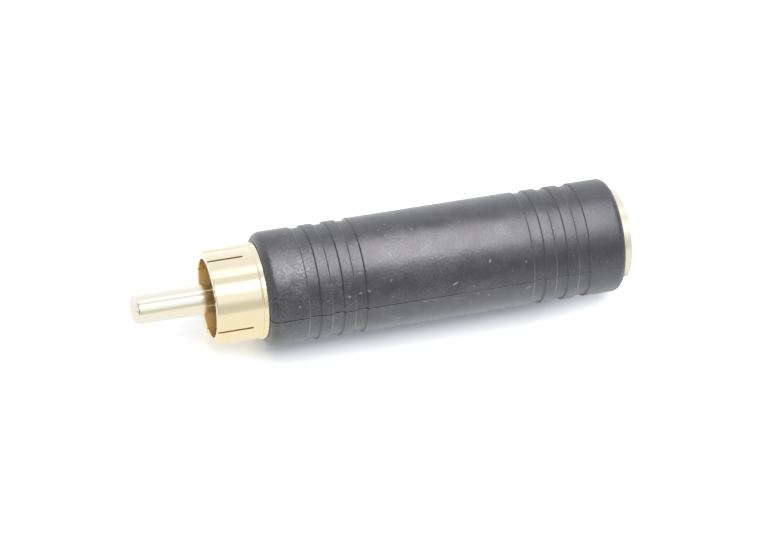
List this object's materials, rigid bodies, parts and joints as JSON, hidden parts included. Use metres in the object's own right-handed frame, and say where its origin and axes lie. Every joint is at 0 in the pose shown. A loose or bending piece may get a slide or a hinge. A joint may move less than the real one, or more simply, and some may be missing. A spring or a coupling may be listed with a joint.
{
  "type": "rca adapter",
  "caption": "Inline audio adapter with a slotted phono plug at one end of a ringed black barrel and a gold-flanged quarter-inch jack socket at the other.",
  "frame": {"origin": "centre of the jack flange's outer face, the lowest point of the adapter as it stands", "axes": "+Z along the adapter's axis, from the jack socket to the phono plug; the barrel's halves part in the plane X = 0, the upper half on +X"},
  "size_m": [0.012, 0.012, 0.0527],
  "materials": {
    "barrel_plastic": "satin, fine moulded grain",
    "gold_plate": "bright gold plating on turned brass",
    "pin_plate": "bright pale gold plating on turned brass",
    "insulator_plastic": "natural nylon, satin",
    "spring_bronze": "rolled bronze strip, satin",
    "rivet_tin": "tinned, satin",
    "solder": "solder, satin"
  },
  "bodies": {
    "root": {"upper_shell": "barrel_plastic", "lower_shell": "barrel_plastic", "jack_bushing": "gold_plate", "contact_carrier": "insulator_plastic", "tip_spring": "spring_bronze", "tip_rivet": "rivet_tin", "ground_strap": "spring_bronze", "ground_rivet": "rivet_tin", "bushing_solder": "solder", "rca_shell": "gold_plate", "shell_solder": "solder", "rca_insulator": "insulator_plastic", "rca_pin": "pin_plate", "pin_washer": "rivet_tin", "pin_solder": "solder"}
  },
  "joints": []
}
